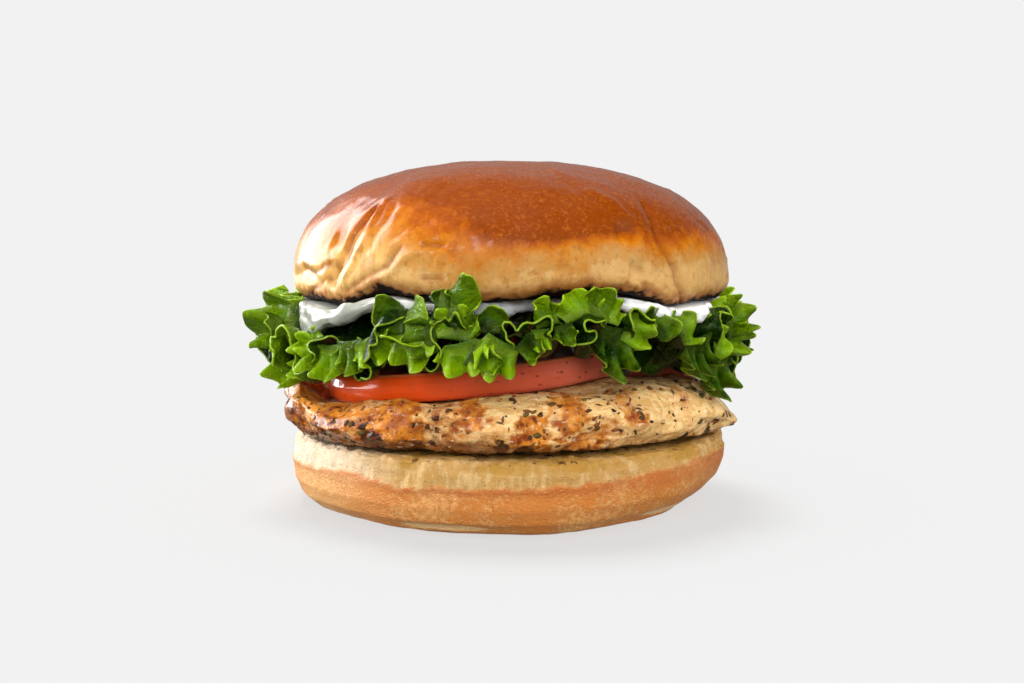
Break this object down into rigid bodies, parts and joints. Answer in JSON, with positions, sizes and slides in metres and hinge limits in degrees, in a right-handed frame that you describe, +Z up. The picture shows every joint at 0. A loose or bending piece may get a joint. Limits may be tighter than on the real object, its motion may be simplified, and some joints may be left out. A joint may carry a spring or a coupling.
{
  "type": "chicken burger",
  "caption": "Grilled chicken burger: glossy bun crown and heel round a seasoned breast, tomato slices, frilly lettuce and mayonnaise.",
  "frame": {"origin": "middle of the heel's flat underside, on the bun's axis", "axes": "+Z up through heel, filling and crown; -Y towards the side the picture shows; +X towards its right"},
  "size_m": [0.1278, 0.1231, 0.0854],
  "materials": {
    "crown_crust": "egg-washed baked crust, glossy on the dome, matt and pale at the rim",
    "heel_crust": "fine-pored baked crust under a pale torn crumb",
    "grilled_chicken": "moist seared meat with char spots and dark seasoning",
    "tomato": "wet smooth skin",
    "lettuce": "waxy leaf with a paler edge",
    "mayonnaise": "glossy white sauce"
  },
  "bodies": {
    "root": {"bun_heel": "heel_crust", "chicken_breast": "grilled_chicken", "tomato_slice_front": "tomato", "tomato_slice_back": "tomato", "lettuce_leaf_front": "lettuce", "lettuce_leaf_right": "lettuce", "lettuce_leaf_back": "lettuce", "lettuce_leaf_left": "lettuce", "mayonnaise": "mayonnaise", "bun_crown": "crown_crust"}
  },
  "joints": []
}
